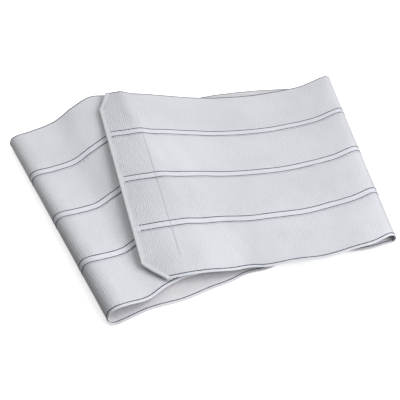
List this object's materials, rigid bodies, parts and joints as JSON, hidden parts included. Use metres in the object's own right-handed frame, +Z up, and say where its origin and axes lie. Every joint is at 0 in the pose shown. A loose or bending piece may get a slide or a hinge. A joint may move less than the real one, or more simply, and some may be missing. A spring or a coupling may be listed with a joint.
{
  "type": "abdominal binder",
  "caption": "White woven-elastic abdominal binder: a wide band of long panels sewn side by side, closed into a loop by a hook patch and laid flat on its side.",
  "frame": {"origin": "bottom centre of the part's box, on the floor that the binder lies on", "axes": "+X along the outer end's layer towards the right fold, +Y towards the far long edge, +Z up"},
  "size_m": [0.3784, 0.3512, 0.0305],
  "materials": {
    "elastic_web": "woven, ribbed, matte white with a blue-grey cast",
    "binding_tape": "plain woven, matte white",
    "hook_tape": "hook tape, matte white"
  },
  "bodies": {
    "root": {"panel_1": "elastic_web", "panel_2": "elastic_web", "panel_3": "elastic_web", "panel_4": "elastic_web", "outer_end_binding": "binding_tape", "hook_patch": "hook_tape"}
  },
  "joints": []
}
